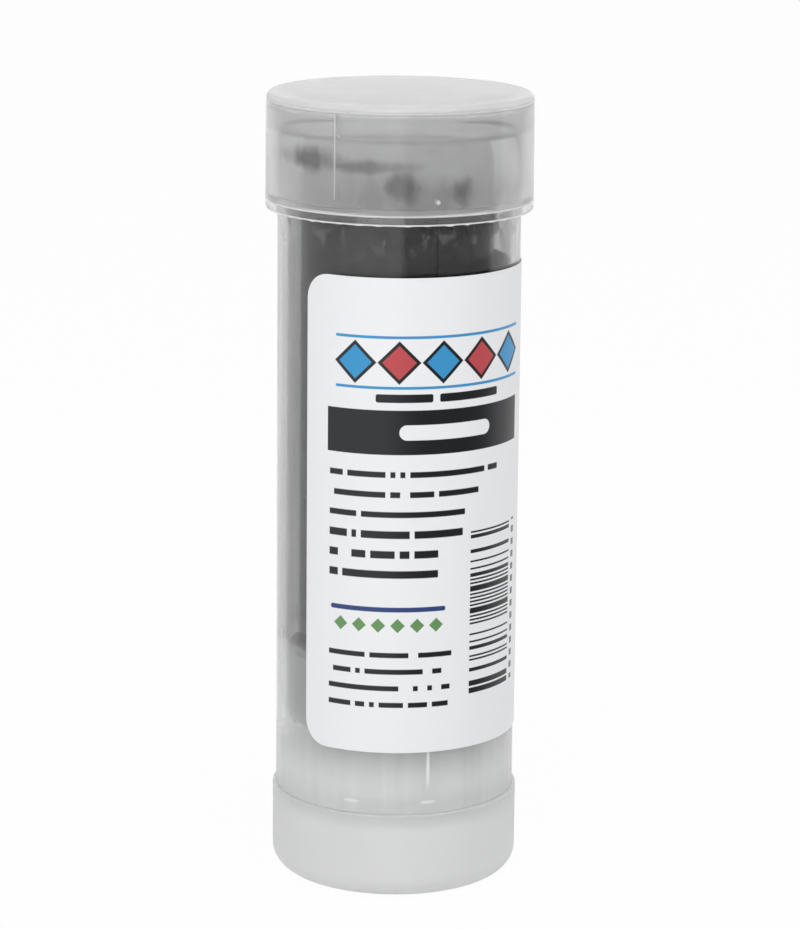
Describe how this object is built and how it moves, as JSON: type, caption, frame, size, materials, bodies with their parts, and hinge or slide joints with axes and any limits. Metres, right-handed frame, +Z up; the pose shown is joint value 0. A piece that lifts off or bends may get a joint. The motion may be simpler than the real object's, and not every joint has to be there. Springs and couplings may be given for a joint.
{
  "type": "livestock marking stick",
  "caption": "Wind-up wax marking stick: a black crayon on a screw carrier in a clear barrel, with a twist base, a wrap label and a frosted push-on cap.",
  "frame": {"origin": "centre of the twist base's underside, on the surface that the stick stands on", "axes": "+Z up along the barrel's axis, -Y out of the front of the label"},
  "size_m": [0.0386, 0.0386, 0.1153],
  "materials": {
    "clear_plastic": "clear, smooth",
    "frosted_plastic": "translucent, satin",
    "natural_plastic": "translucent, satin",
    "black_wax": "waxy, slightly smeared",
    "label_film": "smooth film with a printed front"
  },
  "bodies": {
    "barrel_body": {"barrel": "clear_plastic", "label": "label_film"},
    "base_body": {"twist_base": "frosted_plastic", "drive_screw": "natural_plastic"},
    "stick_body": {"carrier": "natural_plastic", "wax_stick": "black_wax"},
    "cap_body": {"cap": "frosted_plastic"}
  },
  "joints": [
    {"name": "base_turn", "type": "hinge", "parent": "barrel_body", "child": "base_body", "pos_m": [0, 0, 0], "axis": [0, 0, -1], "range_deg": [0, 3960]},
    {"name": "stick_rise", "type": "slide", "parent": "barrel_body", "child": "stick_body", "axis": [0, 0, 1], "range_m": [0, 0.066]},
    {"name": "cap_pull", "type": "slide", "parent": "stick_body", "child": "cap_body", "axis": [0, 0, 1], "range_m": [0, 0.04]}
  ],
  "couplings": [
    {"joint": "base_turn", "follows": "stick_rise", "rad_per_m": 1047.2}
  ]
}
